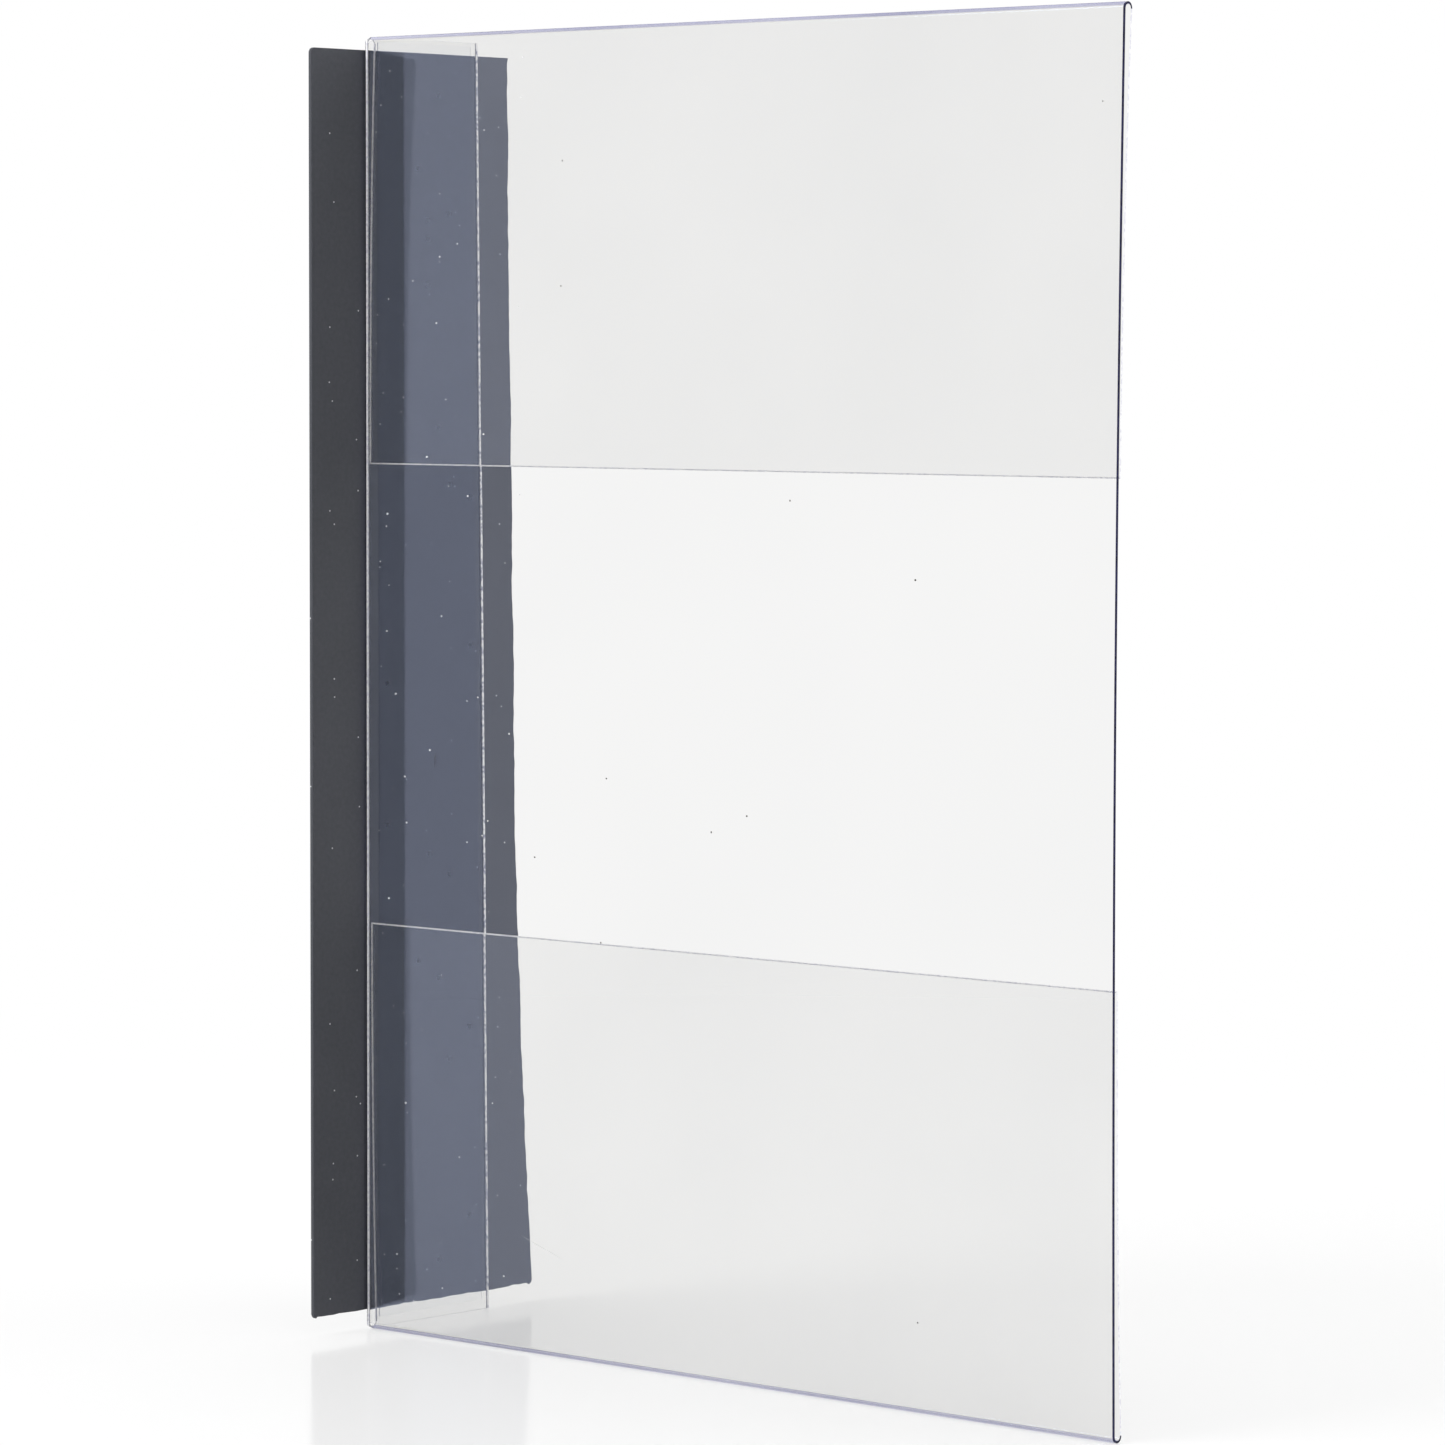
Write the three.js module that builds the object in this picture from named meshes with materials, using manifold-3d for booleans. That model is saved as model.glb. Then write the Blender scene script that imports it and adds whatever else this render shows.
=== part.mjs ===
// Clear A4 sign holder, cut and folded from one thin sheet, with a magnetic strip
// taped to its side flange. Millimetres, +Z up. The holder stands on its lower fold.
// The panel and its flaps are drawn in the panel's own frame: X along the panel from
// the side fold, Y behind it, Z up. A turn about Z then lays the flange along +Y.

import * as THREE from 'three';
import { mergeVertices } from 'three/addons/utils/BufferGeometryUtils.js';
import Module from 'manifold-3d';

const wasm = await Module();
wasm.setup();

// Clear sheet
const sheetThickness = 0.5;
const panelWidth = 217;
const panelHeight = 304;
const wallAngle = THREE.MathUtils.degToRad(85);
const foldRadius = 2.5;
const cornerRadius = 3;

// Flaps turned back behind the panel: past its turn each leans in for a stretch and
// then runs on beside the panel at a small gap of its own
const turnMidRadius = 1.2;
const flapInset = 1.5;
const flapLeanRun = 40;
const upperFlapDepth = 99.5;
const upperFlapEndGap = 0.25;
const lowerFlapDepth = 96.5;
const lowerFlapEndGap = 0.6;

// Side flange, cut a little wider at its foot than at its head
const flangeWidthTop = 36.5;
const flangeWidthBottom = 40.2;

// Double-sided tape on the flange's outer face
const tapeThickness = 0.2;
const tapeSeatGap = 0.05;
const tapeFoldMargin = 2.3;
const tapeEdgeMargin = 2;
const tapeTopMargin = 0.9;
const tapeBottomMargin = 2.3;

// Magnetic strip: it stands out past the fold in front and past the flange behind,
// where its hand-cut edge runs parallel to the flange and then flares to the foot
const stripThickness = 0.95;
const stripHeight = 297;
const stripFootHeight = 4;
const stripFrontReach = 15.8;
const stripRearReachTop = 10.7;
const stripRearReachMiddle = 10.9;
const stripRearReachBottom = 15.5;
const stripFlareHeight = 130;
const stripFlareSoftness = 43;
const stripCornerRadius = 1.2;

// Points on a full turn of a curve
const turnSteps = 64;

// Spare length by which a cutting tool runs past the material
const cutterSpare = 1;

const turnOuterRadius = turnMidRadius + sheetThickness / 2;
const turnInnerRadius = turnMidRadius - sheetThickness / 2;
const foldTangent = foldRadius / Math.tan(wallAngle / 2);

const along = new THREE.Vector3(1, 0, 0);
const back = new THREE.Vector3(0, 1, 0);
const up = new THREE.Vector3(0, 0, 1);
const front = back.clone().negate();
const down = up.clone().negate();
const home = along.clone().negate();
const flangeRun = new THREE.Vector3(Math.cos(wallAngle), Math.sin(wallAngle), 0);
const flangeOutward = new THREE.Vector3(-flangeRun.y, flangeRun.x, 0);
const flangeInward = flangeOutward.clone().negate();

// Where the flange's free edge lies at a height, measured along the flange from the
// corner that the panel's and the flange's outer faces would make without the fold
function flangeEdge(height) {
  return flangeWidthBottom + (flangeWidthTop - flangeWidthBottom) * height / panelHeight;
}

// Extrudes an outline and lays its own X, Y and depth along the three directions.
function extrudeAlong(outline, depth, axisX, axisY, axisZ, origin) {
  const geometry = new THREE.ExtrudeGeometry(outline, { depth, bevelEnabled: false });
  const placement = new THREE.Matrix4().makeBasis(axisX, axisY, axisZ);
  placement.setPosition(origin);
  return geometry.applyMatrix4(placement);
}

// A closed geometry as a solid that can be joined and cut
function solidOf(geometry) {
  geometry.deleteAttribute('normal');
  geometry.deleteAttribute('uv');
  const merged = mergeVertices(geometry, 1e-5);
  return new wasm.Manifold(new wasm.Mesh({
    numProp: 3,
    vertProperties: new Float32Array(merged.attributes.position.array),
    triVerts: new Uint32Array(merged.index.array),
  }));
}

function geometryOf(solid) {
  const mesh = solid.getMesh();
  const geometry = new THREE.BufferGeometry();
  geometry.setAttribute('position', new THREE.BufferAttribute(mesh.vertProperties, 3));
  geometry.setIndex(new THREE.BufferAttribute(mesh.triVerts, 1));
  geometry.computeVertexNormals();
  return geometry;
}

// Draws an arc from the outline's last point, in even steps that end on the curve.
function drawArc(outline, centreX, centreY, radius, startAngle, endAngle) {
  const turn = Math.abs(endAngle - startAngle) / (2 * Math.PI);
  const steps = Math.max(2, Math.ceil(turnSteps * turn));
  for (let i = 0; i <= steps; i += 1) {
    const angle = startAngle + (endAngle - startAngle) * i / steps;
    outline.lineTo(centreX + radius * Math.cos(angle), centreY + radius * Math.sin(angle));
  }
}

// Panel, side fold and flange, seen from above and drawn up to the full height
function makePanelAndFlange() {
  const width = Math.max(flangeWidthTop, flangeWidthBottom);
  const outerEnd = flangeRun.clone().multiplyScalar(width);
  const innerEnd = outerEnd.clone().addScaledVector(flangeInward, sheetThickness);
  const panelSide = -Math.PI / 2;
  const flangeSide = wallAngle - 1.5 * Math.PI;

  const section = new THREE.Shape();
  section.moveTo(panelWidth, 0);
  section.lineTo(panelWidth, sheetThickness);
  drawArc(section, foldTangent, foldRadius, foldRadius - sheetThickness, panelSide, flangeSide);
  section.lineTo(innerEnd.x, innerEnd.y);
  section.lineTo(outerEnd.x, outerEnd.y);
  drawArc(section, foldTangent, foldRadius, foldRadius, flangeSide, panelSide);
  return solidOf(extrudeAlong(section, panelHeight, along, back, up, new THREE.Vector3()));
}

// Takes the panel's edge away where a flap's turn replaces it.
function makeEdgeWaste(edgeHeight) {
  const width = panelWidth - flapInset + cutterSpare;
  const depth = sheetThickness + 2 * cutterSpare;
  const waste = new THREE.BoxGeometry(width, depth, 3 * turnOuterRadius);
  waste.translate(flapInset + width / 2, sheetThickness / 2, edgeHeight);
  return solidOf(waste);
}

// A flap seen from the panel's free side: a short stretch of the panel, the turn,
// and the flap itself, which leans towards the panel and then straightens
function drawFlap(depth, endGap) {
  const lean = Math.atan((2 * turnInnerRadius - endGap) / flapLeanRun);
  const outerX = turnOuterRadius + turnOuterRadius * Math.cos(lean);
  const outerY = -turnOuterRadius - turnOuterRadius * Math.sin(lean);
  const innerX = turnOuterRadius + turnInnerRadius * Math.cos(lean);
  const innerY = -turnOuterRadius - turnInnerRadius * Math.sin(lean);
  const innerFace = sheetThickness + endGap;
  const outerFace = innerFace + sheetThickness;

  const section = new THREE.Shape();
  section.moveTo(0, -2 * turnOuterRadius);
  drawArc(section, turnOuterRadius, -turnOuterRadius, turnOuterRadius, Math.PI, -lean);
  section.quadraticCurveTo(outerFace, outerY - (outerX - outerFace) / Math.tan(lean), outerFace, -depth);
  section.lineTo(innerFace, -depth);
  section.quadraticCurveTo(innerFace, innerY - (innerX - innerFace) / Math.tan(lean), innerX, innerY);
  drawArc(section, turnOuterRadius, -turnOuterRadius, turnInnerRadius, -lean, Math.PI);
  section.lineTo(sheetThickness, -2 * turnOuterRadius);
  return section;
}

function makeUpperFlap() {
  const outline = drawFlap(upperFlapDepth, upperFlapEndGap);
  const origin = new THREE.Vector3(flapInset, 0, panelHeight);
  return solidOf(extrudeAlong(outline, panelWidth - flapInset, back, up, along, origin));
}

function makeLowerFlap() {
  const outline = drawFlap(lowerFlapDepth, lowerFlapEndGap);
  const origin = new THREE.Vector3(panelWidth, 0, 0);
  return solidOf(extrudeAlong(outline, panelWidth - flapInset, back, down, home, origin));
}

// What is cut off when the corner at the outline's origin is rounded. The material
// lies towards +X and -Y, and the cut also clears a run on the other side of it.
function drawCornerWaste(run) {
  const waste = new THREE.Shape();
  waste.moveTo(-run, cutterSpare);
  waste.lineTo(-run, -cornerRadius);
  drawArc(waste, cornerRadius, -cornerRadius, cornerRadius, Math.PI, Math.PI / 2);
  waste.lineTo(cornerRadius, cutterSpare);
  return waste;
}

// Rounds the sheet at one end of the side fold, on the panel and on the flange.
function makeFoldEndWaste(height, outward) {
  const atTop = outward === up;
  const throughFold = foldRadius + cutterSpare;
  const throughFlange = sheetThickness + 2 * cutterSpare;
  const panelStart = new THREE.Vector3(0, atTop ? foldRadius : -cutterSpare, height);
  const flangeStart = flangeRun.clone().multiplyScalar(foldTangent);
  flangeStart.addScaledVector(flangeOutward, atTop ? cutterSpare : -sheetThickness - cutterSpare);
  flangeStart.addScaledVector(up, height);

  const panelWaste = drawCornerWaste(cutterSpare);
  const flangeWaste = drawCornerWaste(sheetThickness);
  const panelThrough = atTop ? front : back;
  const flangeThrough = atTop ? flangeInward : flangeOutward;
  const onPanel = extrudeAlong(panelWaste, throughFold, along, outward, panelThrough, panelStart);
  const onFlange = extrudeAlong(flangeWaste, throughFlange, flangeRun, outward, flangeThrough, flangeStart);
  return solidOf(onPanel).add(solidOf(onFlange));
}

// Trims the flange to its slanted free edge.
function makeFlangeWaste() {
  const far = Math.max(flangeWidthTop, flangeWidthBottom) + cutterSpare;
  const low = -cutterSpare;
  const high = panelHeight + cutterSpare;
  const waste = new THREE.Shape();
  waste.moveTo(flangeEdge(low), low);
  waste.lineTo(far, low);
  waste.lineTo(far, high);
  waste.lineTo(flangeEdge(high), high);
  const start = flangeOutward.clone().multiplyScalar(cutterSpare);
  const through = sheetThickness + 2 * cutterSpare;
  return solidOf(extrudeAlong(waste, through, flangeRun, up, flangeInward, start));
}

function makeHolder() {
  const blank = makePanelAndFlange()
    .subtract(makeEdgeWaste(panelHeight))
    .subtract(makeEdgeWaste(0))
    .subtract(makeFoldEndWaste(panelHeight, up))
    .subtract(makeFoldEndWaste(0, down))
    .subtract(makeFlangeWaste());
  const folded = blank.add(makeUpperFlap()).add(makeLowerFlap());
  const material = new THREE.MeshStandardMaterial({
    color: 0xe6e9f2,
    roughness: 0.05,
    metalness: 0,
    transparent: true,
    opacity: 0.2,
  });
  const holder = new THREE.Mesh(geometryOf(folded), material);
  holder.name = 'clear_holder';
  holder.rotation.z = Math.PI / 2 - wallAngle;
  return holder;
}

// Tape and strip are cut in the wall's plane: their outlines hold Y and Z.
function makeTape() {
  const high = panelHeight - tapeTopMargin;
  const low = tapeBottomMargin;
  const foldSide = foldTangent + tapeFoldMargin;
  const outline = new THREE.Shape();
  outline.moveTo(foldSide, low);
  outline.lineTo(flangeEdge(low) - tapeEdgeMargin, low);
  outline.lineTo(flangeEdge(high) - tapeEdgeMargin, high);
  outline.lineTo(foldSide, high);
  const start = new THREE.Vector3(-tapeSeatGap - tapeThickness, 0, 0);
  const material = new THREE.MeshStandardMaterial({
    color: 0xdfe2ea,
    roughness: 0.25,
    metalness: 0,
    transparent: true,
    opacity: 0.3,
  });
  const tape = new THREE.Mesh(extrudeAlong(outline, tapeThickness, back, up, along, start), material);
  tape.name = 'adhesive_tape';
  return tape;
}

function makeStrip() {
  const low = stripFootHeight;
  const high = low + stripHeight;
  const middle = low + stripFlareHeight;
  const rearTop = flangeEdge(high) + stripRearReachTop;
  const rearMiddle = flangeEdge(middle) + stripRearReachMiddle;
  const rearBottom = flangeEdge(low) + stripRearReachBottom;
  const slope = (rearTop - rearMiddle) / (high - middle);
  const rearBend = rearMiddle - slope * stripFlareSoftness;

  const outline = new THREE.Shape();
  outline.moveTo(-stripFrontReach, low);
  outline.lineTo(rearBottom - stripCornerRadius, low);
  outline.quadraticCurveTo(rearBottom, low, rearBottom, low + stripCornerRadius);
  outline.quadraticCurveTo(rearBend, middle - stripFlareSoftness, rearMiddle, middle);
  outline.lineTo(rearTop, high);
  outline.lineTo(-stripFrontReach, high);
  const start = new THREE.Vector3(-tapeSeatGap - tapeThickness - stripThickness, 0, 0);
  const material = new THREE.MeshStandardMaterial({ color: 0x46474c, roughness: 0.75, metalness: 0 });
  const strip = new THREE.Mesh(extrudeAlong(outline, stripThickness, back, up, along, start), material);
  strip.name = 'magnetic_strip';
  return strip;
}

// The origin lies on the floor under the middle of the whole part.
function makeSignHolder() {
  const model = new THREE.Group();
  model.add(makeHolder(), makeTape(), makeStrip());
  const box = new THREE.Box3().setFromObject(model, true);
  const middle = box.getCenter(new THREE.Vector3());
  model.position.set(-middle.x, -middle.y, -box.min.z);
  return model;
}

export default makeSignHolder();
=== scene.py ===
import math
import random

import bpy
import bmesh
from mathutils import Matrix, Vector, noise


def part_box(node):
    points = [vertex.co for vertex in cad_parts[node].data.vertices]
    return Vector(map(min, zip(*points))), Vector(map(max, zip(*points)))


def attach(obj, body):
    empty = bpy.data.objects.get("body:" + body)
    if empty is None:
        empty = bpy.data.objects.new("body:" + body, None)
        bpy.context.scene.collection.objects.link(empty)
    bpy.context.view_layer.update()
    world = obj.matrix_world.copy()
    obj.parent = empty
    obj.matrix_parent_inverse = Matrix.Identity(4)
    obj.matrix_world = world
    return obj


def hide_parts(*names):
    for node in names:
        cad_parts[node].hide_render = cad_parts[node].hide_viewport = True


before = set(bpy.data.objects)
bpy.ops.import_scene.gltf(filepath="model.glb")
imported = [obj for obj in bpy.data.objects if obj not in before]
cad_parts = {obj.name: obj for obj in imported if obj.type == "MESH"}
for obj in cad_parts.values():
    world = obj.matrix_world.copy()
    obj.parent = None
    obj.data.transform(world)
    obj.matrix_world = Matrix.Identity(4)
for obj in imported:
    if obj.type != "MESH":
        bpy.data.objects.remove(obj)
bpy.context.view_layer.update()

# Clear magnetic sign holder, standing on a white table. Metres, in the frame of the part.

MM = 0.001

# Clear sheet
SHEET = 0.5 * MM
PANEL_WIDTH = 217 * MM
PANEL_HEIGHT = 304 * MM
WALL_ANGLE = math.radians(85)
FOLD_RADIUS = 1.2 * MM
CORNER_RADIUS = 3 * MM
TURN_MID_RADIUS = 1.2 * MM
FLAP_START = 1.5 * MM
FLAP_SLIT = 0.05 * MM
FLAP_LEAN_RUN = 40 * MM
UPPER_FLAP_DEPTH = 99.5 * MM
UPPER_FLAP_END_GAP = 0.25 * MM
LOWER_FLAP_DEPTH = 96.5 * MM
LOWER_FLAP_END_GAP = 0.6 * MM
FLANGE_WIDTH_TOP = 36.5 * MM
FLANGE_WIDTH_BOTTOM = 40.2 * MM

# The free side of the panel bows forward between its stiff folds
PANEL_BOW = 1.4 * MM

# Narrow bands that look unlike the flat sheet, carrying painted highlight and painted shade: rims of
# cut edges, the crease and the crests
CUT_RIM = 0.3 * MM
FLANGE_RIM = 0.55 * MM
PANEL_RIM = 0.25 * MM
CREASE_ANGLE = math.radians(68)
CREST_DEPTH = 0.25 * MM

# Depths behind the panel's front that tell its layers apart
LAYER_SPLIT = 0.6 * MM
FLANGE_START = 4 * MM

# How finely the sheet's net is drawn
END_ROWS = [3 * MM, 6 * MM, 12 * MM]
ROW_STEPS = 36
PANEL_STEPS = 44
FOLD_STEPS = 18
FLANGE_STEPS = 16
TURN_STEPS = 20
FLAP_STEPS = 28
SAME_POINT = 0.001 * MM

# Edges of the finished pieces, and the size from which a face is shaded flat
FLAT_AREA = 1000 * MM * MM
SHEET_SHARP_ANGLE = math.radians(40)
PLATE_SHARP_ANGLE = math.radians(35)
PLATE_BEVEL_ANGLE = math.radians(50)
PLATE_BEVEL_SEGMENTS = 2

# Strip: it reaches past the fold in front and past the flange's edge behind, most at its foot
STRIP_FOOT_HEIGHT = 4 * MM
STRIP_HEIGHT = 297 * MM
STRIP_FRONT_REACH = 15.8 * MM
STRIP_REAR_REACH_TOP = 10.7 * MM
STRIP_REAR_REACH_MIDDLE = 10.9 * MM
STRIP_REAR_REACH_BOTTOM = 15.5 * MM
STRIP_FLARE_HEIGHT = 130 * MM
STRIP_FLARE_SOFTNESS = 43 * MM
STRIP_CORNER_RADIUS = 1.2 * MM
STRIP_EDGE_WAVE = 0.5 * MM
STRIP_BEVEL = 0.12 * MM
STRIP_CORNER_STEPS = 6
STRIP_FOOT_STEPS = 40
STRIP_FLARE_STEPS = 90
STRIP_SIDE_STEPS = 120
ON_THE_FOOT = 0.01 * MM

# Waver of the strip's cut edge: a slow one and a quick one, each with its waves a millimetre
# across and up, its share of the edge's wave, and the slice of the noise it is read from
SLOW_WAVES_A_MM = (0.09, 0.07)
SLOW_WAVE_SHARE = 0.7
SLOW_WAVE_SLICE = 3.0
QUICK_WAVES_A_MM = (0.5, 0.31)
QUICK_WAVE_SHARE = 0.55
QUICK_WAVE_SLICE = 7.0

# Tape
TAPE_FOLD_MARGIN = 3.7 * MM
TAPE_EDGE_MARGIN = 2 * MM
TAPE_TOP_MARGIN = 0.9 * MM
TAPE_BOTTOM_MARGIN = 2.3 * MM
TAPE_BEVEL = 0.03 * MM

# Wear on the panel's front: a long pale scratch and a short dark mark, (along, height)
SCRATCH_START = (49.3 * MM, 27.3 * MM)
SCRATCH_END = (63.7 * MM, 22.6 * MM)
SCRATCH_WIDTH = 0.09 * MM
MARK_START = (22.6 * MM, 134.0 * MM)
MARK_END = (22.8 * MM, 138.2 * MM)
MARK_WIDTH = 0.22 * MM
WEAR_GAP = 0.01 * MM
WEAR_THICKNESS = 0.02 * MM
WEAR_POINT_SHARE = 0.3

# Dust on the panel's front: pale flakes show before the strip, dark ones on the clear part
DUST_SEED = 11
DUST_MARGIN = 5 * MM
FLAKE_SIDES = 6
FLAKE_STRETCH = (0.7, 1.5)
PALE_DUST_COUNT = 66
PALE_DUST_REACH = (4 * MM, 50 * MM)
PALE_DUST_RADIUS = (0.10 * MM, 0.24 * MM)
DARK_DUST_COUNT = 11
DARK_DUST_REACH = (52 * MM, 214 * MM)
DARK_DUST_RADIUS = (0.16 * MM, 0.30 * MM)

# Places of the sheet's materials on its mesh: the clear face, painted highlight on light cut edges,
# painted shade on the dark cut edge and the bends, painted highlight on the rough cut edge
CLEAR_FACE = 0
PAINTED_HIGHLIGHT_CUT = 1
PAINTED_SHADE_CUT = 2
PAINTED_SHADE_BEND = 3
ROUGH_CUT_PAINTED_HIGHLIGHT = 4

# Colours of the clear sheet and its edges, each from its darker to its lighter places. The flat tint is
# the sheet's own, the bent tint is painted shade, and the edge colours are painted highlight and
# painted shade
FLAT_TINT = ((0.905, 0.905, 0.896, 1), (0.923, 0.922, 0.912, 1))
# Painted shade: a navy tint that gives the bends and crests the dark look of refraction
BENT_PAINTED_SHADE_TINT = ((0.22, 0.22, 0.46, 1), (0.50, 0.50, 0.76, 1))
# Painted highlight along the flange's roughly cut free edge, broken into dots by the tool marks
ROUGH_EDGE_PAINTED_HIGHLIGHT = ((0.36, 0.37, 0.48, 1), (1.0, 1.0, 1.0, 1))
# Painted highlight along the cut rims, the flaps' edges and the fold's crease
PAINTED_HIGHLIGHT_EDGE = ((0.78, 0.78, 0.86, 1), (0.98, 0.98, 1.0, 1))
# Painted shade down the panel's open side edge
PAINTED_SHADE_EDGE = ((0.006, 0.006, 0.03, 1), (0.02, 0.02, 0.07, 1))
SHEEN_TINT = (0.56, 0.66, 1.0, 1)
DEPTH_COLOUR = (0.5, 0.5, 0.86, 1)
DEPTH_DENSITY = 30.0
SHEET_IOR = 1.48
EDGE_IOR = 1.5
# Shine of the edges in painted highlight, then of the edge in painted shade
PAINTED_HIGHLIGHT_EDGE_SHINE = 0.5
PAINTED_SHADE_EDGE_SHINE = 0.1

# Colours of the tape, the magnet, the wear and the table
TAPE_COLOUR = (0.97, 0.975, 0.985, 1)
TAPE_IOR = 1.47
MAGNET_COLOURS = ((0.058, 0.061, 0.072, 1), (0.078, 0.081, 0.095, 1))
MAGNET_DUST_COLOUR = (0.62, 0.63, 0.66, 1)
SCRATCH_COLOURS = ((0.5, 0.5, 0.5, 1), (0.8, 0.8, 0.8, 1))
MARK_COLOURS = ((0.02, 0.02, 0.03, 1), (0.07, 0.07, 0.08, 1))
PALE_DUST_COLOURS = ((0.6, 0.6, 0.62, 1), (0.95, 0.95, 0.95, 1))
DARK_DUST_COLOURS = ((0.03, 0.03, 0.03, 1), (0.16, 0.15, 0.14, 1))
TABLE_COLOURS = ((0.90, 0.90, 0.90, 1), (0.92, 0.92, 0.92, 1))
WHITE = (1, 1, 1, 1)

# Noise patterns as (detail, roughness), and the places where a ramp turns from dark to light
PLAIN_NOISE = (2.0, 0.5)
CLOUD_NOISE = (3.0, 0.5)
SMEAR_NOISE = (3.0, 0.55)
MARK_NOISE = (2.0, 0.6)
GRAIN_NOISE = (4.0, 0.6)
WIDE_RAMP = (0.3, 0.7)
MIDDLE_RAMP = (0.35, 0.65)
CUT_MARK_RAMP = (0.40, 0.54)

# Finishes: sizes of their patterns in waves or cells a metre, then shares and levels
TINT_SCALE = 14.0
SMEAR_SCALE = 30.0
SMEAR_ROUGHNESS = 0.008
CUT_MARK_SCALE = 1100.0
CUT_ROUGHNESS = (0.15, 0.5)
GRAIN_SCALE = 900.0
GRAIN_SHARE = 0.45
GRAIN_BUMP = 0.06
GRAIN_DEPTH = 0.1 * MM
CLOUD_SCALE = 22.0
MAGNET_ROUGHNESS = (0.62, 0.85)
MAGNET_DUST_SCALE = 130.0
MAGNET_DUST_SHARE = 0.28
MAGNET_DUST_RADIUS = 0.024
WEAR_SCALE = 900.0
WEAR_ROUGHNESS = 0.5
BUBBLE_SCALE = 300.0
BUBBLE_SHARE = 0.02
BUBBLE_RADIUS = 0.16
TAPE_ROUGHNESS = (0.05, 0.5)
TABLE_CLOUD_SCALE = 3.0
TABLE_ROUGHNESS = 0.12

# Camera: where it stands from the fold's foot, and how it is turned
CAMERA_PLACE = Vector((965.0, -864.2, 229.4)) * MM
CAMERA_HEADING = math.radians(44.42)
CAMERA_PITCH = math.radians(-3.78)
CAMERA_ROLL = math.radians(0.163)
CAMERA_LENS_MM = 137.24
CAMERA_SENSOR_MM = 36.0

# Light, placed from the middle of the part
KEY_PLACE = Vector((-0.6, -1.6, 1.5))
KEY_SIZE = 1.2
KEY_POWER = 22.0
FILL_PLACE = Vector((1.5, 1.2, 1.2))
FILL_SIZE = 1.5
FILL_POWER = 10.0
WORLD_LEVEL = 0.85

# Table: plain white to the eye far out, and near the part by a share that leaves shadows faint
TABLE_SIZE = 40.0
TABLE_WHITE_NEAR = 0.57
TABLE_FADE_START = 0.2
TABLE_FADE_END = 0.75

# Radii of the turns and reach of the side fold, from the sizes above
TURN_OUTER = TURN_MID_RADIUS + SHEET / 2
TURN_INNER = TURN_MID_RADIUS - SHEET / 2
FOLD_TANGENT = FOLD_RADIUS / math.tan(WALL_ANGLE / 2)

# The wall's plane, the fold's line and the foot, read from the frame
holder_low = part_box("clear_holder")[0]
strip_low, strip_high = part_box("magnetic_strip")
tape_low, tape_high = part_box("adhesive_tape")
WALL_X = holder_low[0]
FOLD_Y = strip_low[1] + STRIP_FRONT_REACH
FOOT_Z = holder_low[2]


def flange_edge(height):
    """Where the flange's free edge lies, measured along the flange from the fold."""
    return FLANGE_WIDTH_BOTTOM + (FLANGE_WIDTH_TOP - FLANGE_WIDTH_BOTTOM) * height / PANEL_HEIGHT


def from_panel(along, behind, height):
    """A point given along the panel, behind its front face and above its foot."""
    turn = math.pi / 2 - WALL_ANGLE
    x = along * math.cos(turn) - behind * math.sin(turn)
    y = along * math.sin(turn) + behind * math.cos(turn)
    return Vector((WALL_X + x, FOLD_Y + y, FOOT_Z + height))


def smooth(value):
    """Eases a share in and out, kept from 0 to 1."""
    value = min(max(value, 0.0), 1.0)
    return value * value * (3 - 2 * value)


def bow(along, height):
    """How far the panel lies behind a flat one: below zero where its free side bows forward."""
    share = math.sin(math.pi * min(max(height / PANEL_HEIGHT, 0.0), 1.0))
    return -PANEL_BOW * share * smooth(along / PANEL_WIDTH)


def new_object(name, mesh):
    """Puts a mesh into the scene under a name."""
    piece = bpy.data.objects.new(name, mesh)
    bpy.context.scene.collection.objects.link(piece)
    return piece


def object_from(mesh, name):
    """Turns a finished drawing mesh into an object of the scene."""
    bmesh.ops.recalc_face_normals(mesh, faces=mesh.faces)
    data = bpy.data.meshes.new(name)
    mesh.to_mesh(data)
    mesh.free()
    return new_object(name, data)


def apply_modifiers(piece):
    """Makes what the modifiers show the piece's own mesh."""
    bpy.context.view_layer.update()
    depsgraph = bpy.context.evaluated_depsgraph_get()
    solid = bpy.data.meshes.new_from_object(piece.evaluated_get(depsgraph))
    piece.modifiers.clear()
    piece.data = solid


def shade_by_angle(piece, angle):
    """Smooth small faces, with an edge kept sharp where they meet at more than the angle."""
    mesh = bmesh.new()
    mesh.from_mesh(piece.data)
    for face in mesh.faces:
        face.smooth = face.calc_area() < FLAT_AREA
    for edge in mesh.edges:
        edge.smooth = len(edge.link_faces) == 2 and edge.calc_face_angle(0) < angle
    mesh.to_mesh(piece.data)
    mesh.free()


# Lines that the outlines and the sheet are drawn from

def arc_points(centre, radius, start, end, count):
    """Points on an arc, both ends included."""
    points = []
    for i in range(count + 1):
        angle = start + (end - start) * i / count
        points.append((centre[0] + radius * math.cos(angle), centre[1] + radius * math.sin(angle)))
    return points


def line_points(start, end, count):
    """Points on a straight line, without its start."""
    points = []
    for i in range(1, count + 1):
        t = i / count
        points.append((start[0] + (end[0] - start[0]) * t, start[1] + (end[1] - start[1]) * t))
    return points


def curve_points(start, bend, end, count):
    """Points on a curve that leaves its start and meets its end towards the bend, without its start."""
    points = []
    for i in range(1, count + 1):
        t = i / count
        x = (1 - t) ** 2 * start[0] + 2 * t * (1 - t) * bend[0] + t * t * end[0]
        y = (1 - t) ** 2 * start[1] + 2 * t * (1 - t) * bend[1] + t * t * end[1]
        points.append((x, y))
    return points


# Clear holder: the sheet's middle surface is drawn as a net of strips and then thickened

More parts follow.
